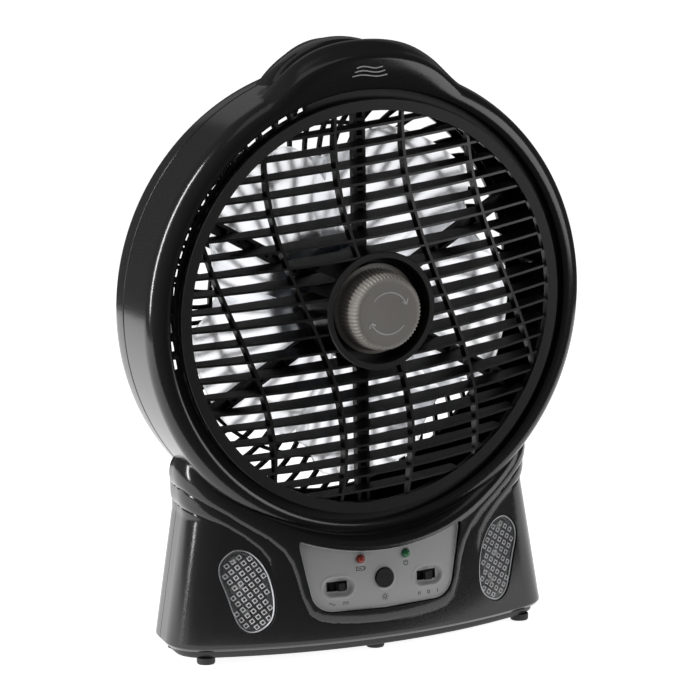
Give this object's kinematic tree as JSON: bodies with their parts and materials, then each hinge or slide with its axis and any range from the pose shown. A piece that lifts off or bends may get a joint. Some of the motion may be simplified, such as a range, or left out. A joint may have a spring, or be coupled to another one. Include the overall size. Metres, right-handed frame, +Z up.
{
  "type": "box fan",
  "caption": "Free-standing battery fan with a rotating louvre front, a middle knob, a control panel, two lamps and a carry handle.",
  "frame": {"origin": "on the floor, under the middle of the fan", "axes": "+Z up, -Y towards the front, where the air comes out, +X to the right seen from the front"},
  "size_m": [0.3004, 0.094, 0.3854],
  "materials": {
    "shell": "dark charcoal moulded plastic, satin gloss",
    "louvre": "near black moulded plastic, satin",
    "inner_black": "black moulded plastic, matt",
    "knob_grey": "warm silver grey plastic, satin",
    "panel_silver": "silver grey painted plastic, satin",
    "control_black": "black plastic",
    "blade_clear": "smoky white translucent plastic",
    "lens_clear": "clear plastic with a moulded prism pattern",
    "reflector": "bright vacuum plated reflector",
    "led_white": "white lamp body",
    "led_red": "red tinted lens",
    "led_green": "green tinted lens",
    "board_green": "green circuit board",
    "switch_grey": "grey switch housing",
    "rubber_black": "soft black rubber",
    "steel": "bright zinc plated steel",
    "motor_paint": "dark blue grey enamel",
    "copper": "copper windings and segments",
    "magnet": "ferrite",
    "bush_white": "natural acetal",
    "cell_wrap": "blue shrink sleeve"
  },
  "bodies": {
    "housing": {"front_shell": "shell", "rear_cover": "shell", "carry_handle": "shell", "bottom_tray": "shell", "rubber_feet": "rubber_black", "housing_screws": "steel", "tray_screws": "steel", "rear_grille": "inner_black", "louvre_bracket": "inner_black", "bracket_screws": "steel", "louvre_spindle": "steel", "motor_can": "motor_paint", "motor_end_bell": "motor_paint", "motor_magnets": "magnet", "front_bearing": "steel", "rear_bearing": "steel", "motor_mount": "steel", "motor_screws": "steel", "control_panel": "panel_silver", "charge_led": "led_red", "power_led": "led_green", "control_board": "board_green", "speed_switch_body": "switch_grey", "source_switch_body": "switch_grey", "light_switch_body": "switch_grey", "light_lens_left": "lens_clear", "light_lens_right": "lens_clear", "lamp_reflector_left": "reflector", "lamp_reflector_right": "reflector", "lamp_leds_left": "led_white", "lamp_leds_right": "led_white", "lamp_board_left": "board_green", "lamp_board_right": "board_green", "battery_cells": "cell_wrap", "battery_cradle": "inner_black", "power_inlet": "control_black"},
    "louvre": {"louvre_grille": "louvre", "louvre_bush": "bush_white"},
    "knob": {"louvre_knob": "knob_grey", "knob_cap": "knob_grey"},
    "rotor": {"fan_blade": "blade_clear", "blade_nut": "steel", "motor_shaft": "steel", "motor_armature": "copper", "commutator": "copper"},
    "speed_switch": {"speed_slider": "control_black"},
    "source_switch": {"source_slider": "control_black"},
    "lamp_button": {"light_button": "control_black"}
  },
  "joints": [
    {"name": "louvre_spin", "type": "hinge", "parent": "housing", "child": "louvre", "pos_m": [0, -0.025, 0.2184], "axis": [0, 1, 0], "continuous": true},
    {"name": "blade_spin", "type": "hinge", "parent": "housing", "child": "rotor", "pos_m": [0, -0.025, 0.2184], "axis": [0, 1, 0], "continuous": true},
    {"name": "knob_turn", "type": "hinge", "parent": "housing", "child": "knob", "pos_m": [0, -0.025, 0.2184], "axis": [0, -1, 0], "range_deg": [-90, 0]},
    {"name": "speed_slide", "type": "slide", "parent": "housing", "child": "speed_switch", "axis": [1, 0, 0], "range_m": [-0.004, 0.004]},
    {"name": "source_slide", "type": "slide", "parent": "housing", "child": "source_switch", "axis": [1, 0, 0], "range_m": [-0.004, 0]},
    {"name": "lamp_press", "type": "slide", "parent": "housing", "child": "lamp_button", "axis": [0, 0.9972, -0.075], "range_m": [0, 0.0016], "stiffness_N_per_m": 900}
  ]
}
